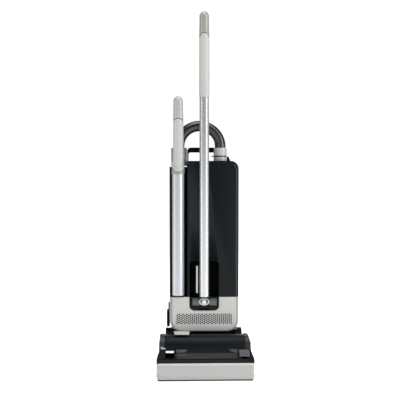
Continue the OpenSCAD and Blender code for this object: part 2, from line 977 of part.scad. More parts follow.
// Sliding catch near the top of the door
module door_latch() {
    face = door_y + door_t;
    color(black) {
        box(-20, 20, face + 0.4, face + 6, 640, 664);
        box(-14, 14, face + 0.4, face + 3, 664, 674);
        box(-6, 6, face - 3.4, face + 0.4, 646, 658);
        box(-10, 10, face - 5, face - 3.4, 644, 660);
    }
}

module hinge_pin() {
    color(steel) xcyl(-104, 104, hinge_y, hinge_z, hinge_pin_r);
}

// ---- Wand ----

module wand_tube() {
    color(silver) difference() {
        zcyl(wand_x, wand_y, wand_base, collar_low + 18, wand_d / 2);
        zcyl(wand_x, wand_y, wand_base - 1, collar_low + 19, wand_d / 2 - 1.3);
    }
}

module wand_head() {
    cuff_r = 27;
    cuff_low = 697;
    color(warm_grey) difference() {
        union() {
            zcyl(wand_x, wand_y, collar_low, collar_low + 22, wand_d / 2 + 1.8);
            zcyl(hose_left, hose_y, cuff_low, cuff_top, cuff_r);
            box(hose_left - 22, hose_left + 20, wand_y + 8, hose_y, cuff_low, 740);
            zcyl(wand_x, wand_y, collar_low + 18, cuff_low + 6, wand_d / 2 - 2);
        }
        zcyl(wand_x, wand_y, collar_low - 1, collar_low + 18, wand_d / 2 + 0.02);
        zcyl(hose_left, hose_y, hose_in_cuff, cuff_top + 1, hose_d / 2 + 0.2);
        zcyl(hose_left, hose_y, cuff_low + 10, hose_in_cuff + 1, 16);
        zcyl(grip_x, grip_y, collar_low + 22, cuff_top + 1, wand_grip_r + 0.05);
    }
}

module wand_grip() {
    color(warm_grey) zcyl(grip_x, grip_y, collar_low + 22, wand_seam, wand_grip_r);
}

module wand_cap() {
    dome_z = wand_top - wand_grip_r;
    color("#a4a69e") {
        zcyl(grip_x, grip_y, wand_seam, dome_z, wand_grip_r);
        translate([grip_x, grip_y, dome_z]) intersection() {
            sphere(wand_grip_r);
            translate([-30, -30, 0]) cube(60);
        }
    }
}

head_base();
sole_plate();
front_bumper();
head_cover();
brush_motor_cover();
cheeks();
pivot_arms();
pivot_pins();
wheel_axles();
brush_motor();
drive_belt();
brush_bearings();
brush_core();
brush_bristles();
motor_pinion();
wheel_left();
tyre_left();
wheel_right();
tyre_right();
front_rollers();
tilt_pedal();
release_tab();
height_slide();
upright_base();
motor_housing_front();
motor_housing_rear();
exhaust_grille();
exhaust_filter();
control_panel();
badge();
indicator_lenses();
power_switch();
suction_motor();
motor_fan();
motor_seals();
duct_elbow();
wand_socket();
bag_housing();
pre_motor_filter();
dust_bag();
bag_collar();
hose_cuff();
cuff_ring();
hose();
carry_handle();
fill_gauge();
handle_tube();
handle_grip();
handle_cap();
cable_hook_lower();
cable_hook_upper();
mains_inlet();
housing_screws();
bag_door();
door_latch();
hinge_pin();
wand_tube();
wand_head();
wand_grip();
wand_cap();
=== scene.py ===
import json
import math
import random

import bmesh
import bpy
from mathutils import Matrix, Vector


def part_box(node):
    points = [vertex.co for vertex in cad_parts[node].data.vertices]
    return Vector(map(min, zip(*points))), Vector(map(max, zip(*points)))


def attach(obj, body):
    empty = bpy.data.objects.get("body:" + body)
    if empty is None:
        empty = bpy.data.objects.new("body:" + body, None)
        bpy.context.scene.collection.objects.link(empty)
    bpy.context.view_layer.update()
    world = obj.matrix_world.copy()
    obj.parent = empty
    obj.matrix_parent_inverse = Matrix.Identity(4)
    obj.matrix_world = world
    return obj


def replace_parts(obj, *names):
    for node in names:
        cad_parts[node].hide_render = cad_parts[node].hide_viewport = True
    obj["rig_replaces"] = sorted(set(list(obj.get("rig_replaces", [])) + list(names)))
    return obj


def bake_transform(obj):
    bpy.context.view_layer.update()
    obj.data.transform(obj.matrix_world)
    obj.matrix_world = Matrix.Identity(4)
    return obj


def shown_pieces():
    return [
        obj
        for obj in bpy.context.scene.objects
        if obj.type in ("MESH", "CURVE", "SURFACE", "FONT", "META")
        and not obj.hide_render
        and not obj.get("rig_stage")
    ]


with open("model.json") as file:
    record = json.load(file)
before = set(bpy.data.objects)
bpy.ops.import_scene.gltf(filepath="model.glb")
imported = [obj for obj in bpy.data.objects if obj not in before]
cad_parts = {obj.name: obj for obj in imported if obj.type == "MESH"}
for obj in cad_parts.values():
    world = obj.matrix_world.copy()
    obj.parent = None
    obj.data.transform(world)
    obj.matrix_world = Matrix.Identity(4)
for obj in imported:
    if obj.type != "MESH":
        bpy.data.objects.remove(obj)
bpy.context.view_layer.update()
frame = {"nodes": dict(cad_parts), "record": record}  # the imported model: bodies, nodes, joints and record

# Shapes below are written in millimetres; MM turns them into Blender's metres.
MM = 0.001
NODES = frame["nodes"]


def cad(node):
    """Lowest and highest corner of a CAD node, in millimetres."""
    lo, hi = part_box(node)
    return lo / MM, hi / MM


def middle(node):
    lo, hi = cad(node)
    return (lo + hi) / 2


# ---------------------------------------------------------------- camera, light and floor

# Fitted to the photo's outlines.
CAMERA_PLACE = (-0.0901, -2.7211, 0.6870)  # metres
CAMERA_YAW = 1.605     # degrees to the right
CAMERA_PITCH = 2.228   # degrees downwards
CAMERA_LENS = 71.97    # mm on a 36 mm sensor


def make_camera():
    data = bpy.data.cameras.new("camera")
    data.sensor_width = 36
    data.lens = CAMERA_LENS
    camera = bpy.data.objects.new("camera", data)
    camera.location = CAMERA_PLACE
    camera.rotation_euler = (math.radians(90 - CAMERA_PITCH), 0, math.radians(-CAMERA_YAW))
    bpy.context.scene.collection.objects.link(camera)
    bpy.context.scene.camera = camera


def softbox(name, place, target, size, watts):
    """A rectangular lamp that the camera doesn't see, turned to its target. Metres."""
    data = bpy.data.lights.new(name, "AREA")
    data.shape = "RECTANGLE"
    data.size, data.size_y = size
    data.energy = watts
    lamp = bpy.data.objects.new(name, data)
    lamp.location = place
    lamp.rotation_euler = (Vector(target) - Vector(place)).to_track_quat("-Z", "Y").to_euler()
    lamp.visible_camera = False
    bpy.context.scene.collection.objects.link(lamp)


def scaled_sum(tree, source, factor, base):
    """base + source * factor"""
    node = add_node(tree, "ShaderNodeMath", operation="MULTIPLY_ADD")
    tree.links.new(source, node.inputs[0])
    node.inputs[1].default_value = factor
    if isinstance(base, float):
        node.inputs[2].default_value = base
    else:
        tree.links.new(base, node.inputs[2])
    return node.outputs[0]


def make_studio():
    """White surroundings, dimmer in reflections so that black plastic stays black, and four softboxes."""
    bpy.context.scene.view_settings.view_transform = "Standard"
    world = bpy.data.worlds.new("studio")
    bpy.context.scene.world = world
    world.use_nodes = True
    tree = world.node_tree
    ray = tree.nodes.new("ShaderNodeLightPath")
    background = tree.nodes["Background"]
    background.inputs["Color"].default_value = (0.97, 0.98, 1.0, 1)
    fill, seen, mirrored = 0.56, 1.06, 0.12
    strength = scaled_sum(tree, ray.outputs["Is Camera Ray"], seen - fill, fill)
    strength = scaled_sum(tree, ray.outputs["Is Glossy Ray"], mirrored - fill, strength)
    tree.links.new(strength, background.inputs["Strength"])
    aim = (0, 0, 0.6)
    softbox("left_box", (-2.1, -1.0, 0.95), aim, (0.4, 2.6), 10)
    softbox("right_box", (2.0, -1.2, 0.95), aim, (0.9, 2.6), 32)
    softbox("top_box", (0, -0.5, 3.0), aim, (2.2, 2.2), 48)
    softbox("back_box", (0.4, 3.2, 1.8), aim, (2.4, 1.6), 24)


def make_floor():
    """A white floor that glows a little, so that it runs into the white surroundings."""
    size = 30
    mesh = bpy.data.meshes.new("floor")
    mesh.from_pydata([(-size, -size, 0), (size, -size, 0), (size, size, 0), (-size, size, 0)], [],
                     [(0, 1, 2, 3)])
    floor = bpy.data.objects.new("floor", mesh)
    bpy.context.scene.collection.objects.link(floor)
    white, _, shader = new_material("floor_white")
    shader.inputs["Base Color"].default_value = (0.8, 0.8, 0.8, 1)
    shader.inputs["Roughness"].default_value = 0.6
    shader.inputs["Emission Color"].default_value = (1, 1, 1, 1)
    shader.inputs["Emission Strength"].default_value = 0.66
    mesh.materials.append(white)
    floor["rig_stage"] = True


# ---------------------------------------------------------------- materials

def new_material(name):
    made = bpy.data.materials.new(name)
    made.use_nodes = True
    tree = made.node_tree
    return made, tree, tree.nodes["Principled BSDF"]


def add_node(tree, kind, **values):
    """A shader node with some of its settings changed."""
    node = tree.nodes.new(kind)
    for key, value in values.items():
        setattr(node, key, value)
    return node


def noise(tree, vector, scale, detail=3.0, roughness=0.55):
    node = add_node(tree, "ShaderNodeTexNoise")
    node.inputs["Scale"].default_value = scale
    node.inputs["Detail"].default_value = detail
    node.inputs["Roughness"].default_value = roughness
    tree.links.new(vector, node.inputs["Vector"])
    return node.outputs["Fac"]


def between(tree, factor, low, high):
    """A value from low to high as factor goes from 0.3 to 0.7, the reach of a noise."""
    node = add_node(tree, "ShaderNodeMapRange")
    node.inputs["From Min"].default_value = 0.3
    node.inputs["From Max"].default_value = 0.7
    node.inputs["To Min"].default_value = low
    node.inputs["To Max"].default_value = high
    tree.links.new(factor, node.inputs["Value"])
    return node.outputs["Result"]


def blend_colours(tree, factor, low, high):
    node = add_node(tree, "ShaderNodeMix", data_type="RGBA")
    tree.links.new(factor, node.inputs["Factor"])
    node.inputs["A"].default_value = (*low, 1)
    node.inputs["B"].default_value = (*high, 1)
    return node.outputs["Result"]


def stretched(tree, vector, scale):
    """The same place in space, scaled along each axis: a small scale draws a pattern out long."""
    node = add_node(tree, "ShaderNodeMapping")
    node.inputs["Scale"].default_value = scale
    tree.links.new(vector, node.inputs["Vector"])
    return node.outputs["Vector"]


def bump(tree, shader, height, strength, distance):
    node = add_node(tree, "ShaderNodeBump")
    node.inputs["Strength"].default_value = strength
    node.inputs["Distance"].default_value = distance
    tree.links.new(height, node.inputs["Height"])
    tree.links.new(node.outputs["Normal"], shader.inputs["Normal"])


def tinted(colour, share):
    """The colour made lighter, or darker where share is below 1."""
    return tuple(min(1.0, c * share) for c in colour)


def moulded(name, colour, roughness, grain=0.25, grain_scale=1400, coat=0.0, spread=0.05, shine=0.5):
    """Injection-moulded plastic: faint clouding, a fine spark-eroded grain and uneven gloss."""
    made, tree, shader = new_material(name)
    place = add_node(tree, "ShaderNodeTexCoord").outputs["Object"]
    clouds = noise(tree, place, scale=14, detail=4)
    tree.links.new(blend_colours(tree, clouds, tinted(colour, 1 - spread), tinted(colour, 1 + spread)),
                   shader.inputs["Base Color"])
    smears = noise(tree, place, scale=60, detail=5, roughness=0.65)
    tree.links.new(between(tree, smears, roughness * 0.88, roughness * 1.14), shader.inputs["Roughness"])
    bump(tree, shader, noise(tree, place, grain_scale, detail=2), grain, distance=0.0002)
    shader.inputs["Coat Weight"].default_value = coat
    shader.inputs["Coat Roughness"].default_value = 0.12
    shader.inputs["Specular IOR Level"].default_value = shine
    return made


def metal(name, colour, roughness, streak=(400, 400, 6), strength=0.08, bare=1.0):
    """Drawn or brushed metal, with fine streaks along one axis. bare is 1 without any lacquer."""
    made, tree, shader = new_material(name)
    place = add_node(tree, "ShaderNodeTexCoord").outputs["Object"]
    streaks = noise(tree, stretched(tree, place, streak), scale=1)
    tree.links.new(blend_colours(tree, streaks, tinted(colour, 0.98), tinted(colour, 1.015)),
                   shader.inputs["Base Color"])
    tree.links.new(between(tree, streaks, roughness * 0.93, roughness * 1.08), shader.inputs["Roughness"])
    shader.inputs["Metallic"].default_value = bare
    bump(tree, shader, streaks, strength, distance=0.0001)
    return made


def rubber(name, colour, roughness=0.6):
    """Matt rubber with a little dust in its pores."""
    made, tree, shader = new_material(name)
    place = add_node(tree, "ShaderNodeTexCoord").outputs["Object"]
    dust = noise(tree, place, scale=90, detail=6, roughness=0.7)
    tree.links.new(blend_colours(tree, dust, colour, tinted(colour, 1.7)), shader.inputs["Base Color"])
    tree.links.new(between(tree, dust, roughness * 0.9, roughness * 1.15), shader.inputs["Roughness"])
    bump(tree, shader, noise(tree, place, scale=900), 0.3, distance=0.0003)
    return made


def fibrous(name, dark, light, scale=700):
    """Felt, filter paper or card: short crossed fibres and a soft sheen."""
    made, tree, shader = new_material(name)
    place = add_node(tree, "ShaderNodeTexCoord").outputs["Object"]
    along = noise(tree, stretched(tree, place, (1, 1, 0.12)), scale, detail=4)
    across = noise(tree, stretched(tree, place, (0.12, 1, 1)), scale, detail=4)
    both = add_node(tree, "ShaderNodeMath", operation="ADD")
    tree.links.new(along, both.inputs[0])
    tree.links.new(across, both.inputs[1])
    half = add_node(tree, "ShaderNodeMath", operation="MULTIPLY")
    half.inputs[1].default_value = 0.5
    tree.links.new(both.outputs[0], half.inputs[0])
    tree.links.new(blend_colours(tree, half.outputs[0], dark, light), shader.inputs["Base Color"])
    shader.inputs["Roughness"].default_value = 0.9
    shader.inputs["Sheen Weight"].default_value = 0.15
    bump(tree, shader, half.outputs[0], 0.5, distance=0.0004)
    return made


def make_materials():
    """One material for each of the record's slots, and then the finishes that stand in for one, most of
    which paint light or shade.
    """
    return {
        "black_plastic": moulded("black_plastic", (0.003, 0.0033, 0.0036), 0.42, 0.3, shine=0.1),
        "bumper_grey": moulded("bumper_grey", (0.36, 0.372, 0.35), 0.36, 0.03, 1800, coat=0.15,
                               spread=0.01),
        "cover_gloss": moulded("cover_gloss", (0.011, 0.0115, 0.011), 0.4, 0.06, 1500, shine=0.06),
        "navy_black": moulded("navy_black", (0.0036, 0.0066, 0.0098), 0.42, 0.2, shine=0.16),
        "plated_steel": metal("plated_steel", (0.62, 0.62, 0.6), 0.25),
        "motor_metal": metal("motor_metal", (0.34, 0.35, 0.36), 0.4),
        "fan_metal": metal("fan_metal", (0.75, 0.76, 0.77), 0.3),
        "belt_rubber": rubber("belt_rubber", (0.015, 0.015, 0.016)),
        "brush_core": moulded("brush_core", (0.04, 0.043, 0.046), 0.5),
        "bristle": moulded("bristle", (0.010, 0.010, 0.011), 0.55, 0.1),
        "hub_plastic": moulded("hub_plastic", (0.24, 0.25, 0.25), 0.45, 0.25),
        "tyre": rubber("tyre", (0.014, 0.014, 0.015), 0.7),
        "roller": moulded("roller", (0.03, 0.03, 0.032), 0.45),
        "light_grey": moulded("light_grey", (0.46, 0.458, 0.435), 0.42, 0.2, 1600, spread=0.025),
        "white_plastic": moulded("white_plastic", (0.86, 0.86, 0.85), 0.3, 0.05, spread=0.01),
        "mid_grey": moulded("mid_grey", (0.09, 0.095, 0.105), 0.4, 0.2),
        "anthracite": moulded("anthracite", (0.0036, 0.0062, 0.0072), 0.36, 0.25, 1300, shine=0.18),
        "filter_paper": fibrous("filter_paper", (0.62, 0.61, 0.55), (0.80, 0.79, 0.74)),
        "filter_foam": fibrous("filter_foam", (0.09, 0.12, 0.15), (0.15, 0.2, 0.25), 1100),
        "panel_gloss": moulded("panel_gloss", (0.003, 0.004, 0.0042), 0.18, 0.04, shine=0.12),
        "badge_silver": metal("badge_silver", (0.55, 0.56, 0.57), 0.3, (900, 900, 30), 0.08, 0.8),
        "lens": moulded("lens", (0.045, 0.06, 0.064), 0.2, 0.05, coat=0.4, spread=0.3),
        "bag_paper": fibrous("bag_paper", (0.56, 0.50, 0.39), (0.74, 0.69, 0.57), 500),
        "card": fibrous("card", (0.36, 0.26, 0.14), (0.5, 0.38, 0.22)),
        "cuff_grey": moulded("cuff_grey", (0.42, 0.43, 0.405), 0.25, 0.1, 1600, coat=0.4, spread=0.02),
        "hose_black": moulded("hose_black", (0.011, 0.012, 0.0115), 0.16, 0.05, 900, coat=0.8),
        "tube_metal": metal("tube_metal", (0.59, 0.60, 0.61), 0.2, (700, 700, 4), 0.02, 0.7),
        "warm_grey": moulded("warm_grey", (0.42, 0.425, 0.40), 0.36, 0.2, 1500, coat=0.1, spread=0.03),
        "cap_grey": moulded("cap_grey", (0.27, 0.28, 0.25), 0.16, 0.06, 1500, coat=0.8, spread=0.03),
        # Finishes of single pieces; all but wand_metal are painted light or shade.
        # Near-black and matt: painted shade, for sheets and rings set where shade falls.
        "painted_shade_black": moulded("painted_shade_black", (0.0012, 0.0012, 0.0014), 0.7, 0.2, shine=0.03),
        # A darker copy of light_grey: painted shade on the motor housing's shell.
        "shaded_shell_grey": moulded("shaded_shell_grey", (0.29, 0.288, 0.278), 0.42, 0.2, 1600, spread=0.025),
        # A darker copy of warm_grey: painted shade on the wand's collar.
        "shaded_collar_grey": moulded("shaded_collar_grey", (0.22, 0.225, 0.21), 0.26, 0.1, 1500, coat=0.3, spread=0.03),
        # A lighter copy of cover_gloss: painted light on the cover's middle band and on the cheeks.
        "lit_cover_grey": moulded("lit_cover_grey", (0.029, 0.031, 0.029), 0.32, 0.06, 1500, shine=0.25),
        # A lighter copy of cap_grey: painted light on the wand's cap.
        "lit_cap_grey": moulded("lit_cap_grey", (0.36, 0.37, 0.345), 0.18, 0.06, 1500, coat=0.7, spread=0.03),
        # A lighter copy of bumper_grey: a painted highlight along the bumper's rolled top edge.
        "lit_roll_grey": moulded("lit_roll_grey", (0.50, 0.51, 0.49), 0.3, 0.03, 1800, coat=0.3, spread=0.01),
        # Lighter than the cover and the housing: painted highlight streaks on trims and the housing's edge
        # line.
        "highlight_trim_grey": moulded("highlight_trim_grey", (0.042, 0.045, 0.044), 0.3, 0.1, 1500, coat=0.2),
        # A lighter copy of bumper_grey: painted light on the bumper's recessed lower band.
        "lit_skirt_grey": moulded("lit_skirt_grey", (0.38, 0.385, 0.37), 0.5, 0.1, 1200, spread=0.02),
        "wand_metal": metal("wand_metal", (0.50, 0.515, 0.535), 0.3, (700, 700, 4), 0.02, 0.5),
    }


# ---------------------------------------------------------------- pieces

SLOT_OF = {s["node"]: s["material_slot"] for s in frame["record"]["subparts"]}
BODY_OF = {n: b for b, ns in frame["record"]["behaviour"]["bodies"].items() for n in ns}

# In metres: points closer than this are one point, in a CAD mesh and in a mesh made here.
CAD_WELD = 0.00001
OWN_WELD = 0.000005
SHARP = math.radians(30)  # a CAD edge that may be rounded bends by at least this


def paint(obj, slot, finish=None):
    """Gives the piece the slot's material, unless another finish is named."""
    obj.data.materials.clear()
    obj.data.materials.append(MATERIALS[finish or slot])


def round_edges(obj, width):
    """Merges the frame's flat facets, then rounds every sharp edge by width mm."""
    weld = obj.modifiers.new("weld", "WELD")
    weld.merge_threshold = CAD_WELD
    flat = obj.modifiers.new("flat", "DECIMATE")
    flat.decimate_type = "DISSOLVE"
    flat.angle_limit = math.radians(0.6)
    bevel = obj.modifiers.new("bevel", "BEVEL")
    bevel.width = width * MM
    bevel.segments = 3
    bevel.limit_method = "ANGLE"
    bevel.angle_limit = math.radians(32)
    bevel.miter_outer = "MITER_ARC"
    obj.modifiers.new("normals", "WEIGHTED_NORMAL").keep_sharp = True


def dress(node):
    """A CAD node that stays: its material, and rounded edges."""
    obj = NODES[node]
    paint(obj, SLOT_OF[node])
    obj.data.shade_smooth()
    round_edges(obj, 0.6)


# How a plate drawn in x and y is turned to face one way.
PLANES = {
    "front": Matrix(((1, 0, 0, 0), (0, 0, -1, 0), (0, 1, 0, 0), (0, 0, 0, 1))),
    "top": Matrix.Identity(4),
    "side": Matrix(((0, 0, 1, 0), (1, 0, 0, 0), (0, 1, 0, 0), (0, 0, 0, 1))),
}


def placed(name, mesh, body, slot, stands_for=(), smooth=35):
    """Puts a mesh on its body with its finish; stands_for are the CAD nodes it is shown for."""
    mesh.shade_smooth()
    mesh.set_sharp_from_angle(angle=math.radians(smooth))
    obj = bpy.data.objects.new(name, mesh)
    bpy.context.scene.collection.objects.link(obj)
    paint(obj, slot)
    if body:
        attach(obj, body)
    if stands_for:
        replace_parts(obj, *stands_for)
    return obj


def welded(work, mesh):
    """Joins meeting points, turns every face outwards and writes the work to its mesh."""
    bmesh.ops.remove_doubles(work, verts=work.verts, dist=OWN_WELD)
    bmesh.ops.recalc_face_normals(work, faces=work.faces)
    work.to_mesh(mesh)
    work.free()


def solid(name, parts, body, slot, stands_for=(), smooth=35):
    """One piece from a list of (points in mm, faces)."""
    points, faces = [], []
    for part_points, part_faces in parts:
        first = len(points)
        points += [Vector(p) * MM for p in part_points]
        faces += [[first + i for i in face] for face in part_faces]
    mesh = bpy.data.meshes.new(name)
    mesh.from_pydata(points, [], faces)
    work = bmesh.new()
    work.from_mesh(mesh)
    welded(work, mesh)
    return placed(name, mesh, body, slot, stands_for, smooth)


def skin(rings, wrap=False):
    """Quads between rings of equal length; the ends are closed unless the last ring meets the first."""
    count = len(rings[0])
    points = [p for ring in rings for p in ring]
    faces = []
    for r in range(len(rings) - (0 if wrap else 1)):
        a, b = r * count, (r + 1) % len(rings) * count
        faces += [[a + i, a + (i + 1) % count, b + (i + 1) % count, b + i] for i in range(count)]
    if not wrap:
        faces += [list(range(count)), list(range(len(points) - count, len(points)))]
    return points, faces


def lathe(profile, centre, axis="z", steps=72, wrap=False, shift=None):
    """Turns (radius, height) points round an axis through centre. shift(angle, height) lifts a point."""
    rings = []
    for radius, height in profile:
        ring = []
        for i in range(steps):
            angle = 2 * math.pi * i / steps
            up = height + (shift(angle, height) if shift else 0)
            u, v = radius * math.cos(angle), radius * math.sin(angle)
            local = {"z": (u, v, up), "x": (up, u, v)}[axis]
            ring.append(Vector(centre) + Vector(local))
        rings.append(ring)
    return skin(rings, wrap)


def arc(centre, radius, start, end, steps=6):
    """Points of an arc, from start to end degrees."""
    angles = [math.radians(start + (end - start) * i / steps) for i in range(steps + 1)]
    return [(centre[0] + radius * math.cos(a), centre[1] + radius * math.sin(a)) for a in angles]


def rounded(corners, steps=8):
    """An outline from (x, y, radius) corners, each rounded."""
    outline = []
    for i, (x, y, radius) in enumerate(corners):
        here = Vector((x, y))
        before = Vector(corners[i - 1][:2]) - here
        after = Vector(corners[(i + 1) % len(corners)][:2]) - here
        before.normalize()
        after.normalize()
        half = before.angle(after) / 2
        if radius <= 0 or half > math.radians(89):
            outline.append((x, y))
            continue
        centre = here + (before + after).normalized() * (radius / math.sin(half))
        first = here + before * (radius / math.tan(half)) - centre
        last = here + after * (radius / math.tan(half)) - centre
        turn = first.angle_signed(last)
        for k in range(steps + 1):
            spoke = first.copy()
            spoke.rotate(Matrix.Rotation(-turn * k / steps, 2))
            outline.append(tuple(centre + spoke))
    return outline


def box_outline(x0, x1, y0, y1, radius, steps=8):
    return rounded([(x0, y0, radius), (x1, y0, radius), (x1, y1, radius), (x0, y1, radius)], steps)


def circle(x, y, radius, steps):
    return arc((x, y), radius, 0, 360 - 360 / steps, steps - 1)


def plate_mesh(name, outlines, low, high, bevel, facing):
    """A flat plate with holes and rounded rims, from low to high along the axis it faces."""
    curve = bpy.data.curves.new(name, "CURVE")
    curve.dimensions = "2D"
    curve.fill_mode = "BOTH"
    curve.bevel_depth = bevel * MM
    curve.bevel_resolution = 2
    curve.offset = -bevel * MM
    curve.extrude = max((high - low) / 2 - bevel, 0.001) * MM
    for outline in outlines:
        spline = curve.splines.new("POLY")
        spline.points.add(len(outline) - 1)
        for point, (x, y) in zip(spline.points, outline):
            point.co = (x * MM, y * MM, 0, 1)
        spline.use_cyclic_u = True
    temporary = bpy.data.objects.new(name, curve)
    mesh = bpy.data.meshes.new_from_object(temporary)
    bpy.data.objects.remove(temporary)
    mesh.transform(PLANES[facing])
    shift = {"front": (0, 1, 0), "top": (0, 0, 1), "side": (1, 0, 0)}[facing]
    mesh.transform(Matrix.Translation(Vector(shift) * (low + high) / 2 * MM))
    work = bmesh.new()
    work.from_mesh(mesh)
    welded(work, mesh)
    mesh.materials.clear()
    return mesh


def plate(name, outlines, low, high, bevel, facing, body, slot, stands_for=()):
    """A flat plate on its body, drawn by plate_mesh."""
    return placed(name, plate_mesh(name, outlines, low, high, bevel, facing), body, slot, stands_for)


def refined(name, node, roundings):
    """A copy of a CAD node with its flats merged and chosen edges rounded.

    Each rounding is (test, width in mm, segments). test(p, d) gets an edge's middle in mm and its
    direction.
    """
    mesh = bpy.data.meshes.new(name)
    work = bmesh.new()
    work.from_mesh(NODES[node].data)
    bmesh.ops.remove_doubles(work, verts=work.verts, dist=CAD_WELD)
    bmesh.ops.dissolve_limit(work, angle_limit=math.radians(0.5), verts=work.verts, edges=work.edges,
                             use_dissolve_boundaries=False, delimit=set())
    for test, width, segments in roundings:
        chosen = []
        for edge in work.edges:
            if len(edge.link_faces) != 2 or edge.calc_face_angle(0) < SHARP:
                continue
            a, b = edge.verts[0].co / MM, edge.verts[1].co / MM
            if test((a + b) / 2, (b - a).normalized()):
                chosen.append(edge)
        if chosen:
            bmesh.ops.bevel(work, geom=chosen, offset=width * MM, offset_type="OFFSET", segments=segments,
                            profile=0.5, affect="EDGES", clamp_overlap=True)
    work.to_mesh(mesh)
    work.free()
    return placed(name, mesh, BODY_OF[node], SLOT_OF[node], [node])


def vertical(d):
    return abs(d.z) > 0.9


def near(a, b, gap=0.5):
    return abs(a - b) < gap


# ---------------------------------------------------------------- handle, wand and hose

def seam_shift(drop, seam, reach):
    """Bends a grip's rings near its seam: the sides hang lower than the front."""
    def shift(angle, height):
        share = max(0.0, 1 - abs(height - seam) / reach)
        return -drop * math.cos(angle) ** 2 * share
    return shift


def grip_pair(name, lower_node, upper_node, x, y, radius, cap_radius, low, seam, top, drop, low_drop=0):
    """A grip moulding and its cap, which meet at a curved seam.

    drop is how far the seam hangs at the sides, low_drop how far the moulding's lower end rises there.
    """
    groove, rim, reach = 2.0, 2.5, 42
    hang = seam_shift(drop, seam, reach)

    def body_shift(angle, height):
        lift = low_drop * math.cos(angle) ** 2 * max(0.0, 1 - (height - low) / reach)
        return lift + hang(angle, height)

    body_steps, cap_steps = 40, 24
    span = seam - groove / 2 - rim - (low + rim)
    body = [(radius - rim - 2, low), (radius - rim, low)]
    body += [(radius - rim + r, low + rim - h) for r, h in
             [(rim * math.sin(math.radians(d)), rim * math.cos(math.radians(d))) for d in (30, 60, 90)]]
    body += [(radius, low + rim + span * i / body_steps) for i in range(1, body_steps + 1)]
    body += [(radius - 0.5, seam - groove / 2 - 1.2), (radius - 1.4, seam - groove / 2 - 0.2),
             (radius - 3, seam - groove / 2)]
    solid(name + "_grip_shell", [lathe(body, (x, y, 0), shift=body_shift)], BODY_OF[lower_node],
          SLOT_OF[lower_node], [lower_node])
    dome = top - cap_radius
    cap = [(cap_radius - 3, seam - groove), (cap_radius - 0.4, seam - groove / 2),
           (cap_radius + 0.9, seam + 0.6), (cap_radius + 1.1, seam + 2)]
    for i in range(1, cap_steps + 1):
        t = i / cap_steps
        swell = 1.1 * (1 - t) ** 2
        cap.append((cap_radius + swell, seam + 2 + (dome - seam - 2) * t))
    cap += [(cap_radius * math.cos(a), dome + cap_radius * math.sin(a)) for a in
            [math.radians(d) for d in range(6, 90, 6)]]
    cap.append((0.3, top))
    cap_shell = solid(name + "_cap_shell", [lathe(cap, (x, y, 0), shift=hang)], BODY_OF[upper_node],
                      SLOT_OF[upper_node], [upper_node], smooth=60)
    inner, outer = radius - 3, radius - 0.35
    ring = [(inner, seam - 2), (outer, seam - 2), (outer, seam + 0.9), (inner, seam + 0.9)]
    # A ring in the groove between grip and cap, painted near-black: painted shade in the seam.
    shaded_seam = solid(name + "_seam", [lathe(ring, (x, y, 0), wrap=True, shift=hang)], BODY_OF[upper_node],
                   SLOT_OF[upper_node])
    paint(shaded_seam, SLOT_OF[upper_node], "painted_shade_black")
    return cap_shell


def tube(name, node, wall=1.5):
    """A straight drawn tube with softened ends."""
    lo, hi = cad(node)
    x, y = middle(node).x, middle(node).y
    radius = (hi.x - lo.x) / 2
    soft = 0.5
    profile = [(radius - wall, lo.z), (radius - soft, lo.z), (radius, lo.z + soft), (radius, hi.z - soft),
               (radius - soft, hi.z), (radius - wall, hi.z)]
    return solid(name, [lathe(profile, (x, y, 0), steps=96, wrap=True)], BODY_OF[node],
                 SLOT_OF[node], [node])


def make_handle():
    """The long handle tube with its grip and cap."""
    tube("handle_tube_shell", "handle_tube")
    grip, cap = cad("handle_grip"), cad("handle_cap")
    centre = middle("handle_cap")
    radius = (cap[1].x - cap[0].x) / 2
    grip_low = cad("handle_tube")[1].z
    grip_pair("handle", "handle_grip", "handle_cap", centre.x, centre.y, radius, radius - 1.2, grip_low,
              grip[1].z, cap[1].z, drop=15)


def grip_tongue():
    """The grip's rounded lower end, which laps over the collar at the top of the wand tube."""
    grip = cad("wand_grip")
    axis, centre = middle("wand_tube"), middle("wand_grip")
    collar_r = (cad("wand_tube")[1].x - cad("wand_tube")[0].x) / 2 + 1.8
    half, corner, thick, proud = (grip[1].x - grip[0].x) / 2 - 0.3, 14, 3, 0.8
    low, high = grip[0].z - 13, grip[0].z + 4
    columns = 28
    rings = []
    for i in range(columns + 1):
        across = -half * math.cos(math.pi * i / columns)
        past = max(0.0, abs(across) - (half - corner))
        foot = low + corner - math.sqrt(max(corner ** 2 - past ** 2, 0))
        x = centre.x + across
        depth = [axis.y - math.sqrt(max((collar_r + r) ** 2 - (x - axis.x) ** 2, 0)) for r in
                 (proud, proud - 0.5, proud - thick)]
        rings.append([(x, depth[0], foot + 0.6), (x, depth[0], high), (x, depth[2], high),
                      (x, depth[2], foot), (x, depth[1], foot)])
    solid("wand_grip_tongue", [skin(rings)], "wand", "warm_grey")


def make_wand():
    """The wand's tube, head, grip and cap."""
    paint(tube("wand_tube_shell", "wand_tube"), "tube_metal", "wand_metal")
    grip, cap = cad("wand_grip"), cad("wand_cap")
    centre = middle("wand_cap")
    radius = (cap[1].x - cap[0].x) / 2
    cap_shell = grip_pair("wand", "wand_grip", "wand_cap", centre.x, centre.y, radius, radius - 0.9,
                          grip[0].z, grip[1].z, cap[1].z, drop=8, low_drop=15)
    # The wand's cap in a lighter copy of the cap grey: painted light.
    paint(cap_shell, "cap_grey", "lit_cap_grey")
    shell = refined("wand_head_shell", "wand_head", [(lambda p, d: not vertical(d), 1.2, 3)])
    # The collar in a darker copy of the grip's grey: painted shade round the grip's lower end.
    paint(shell, "warm_grey", "shaded_collar_grey")
    grip_tongue()
    wand_neck()


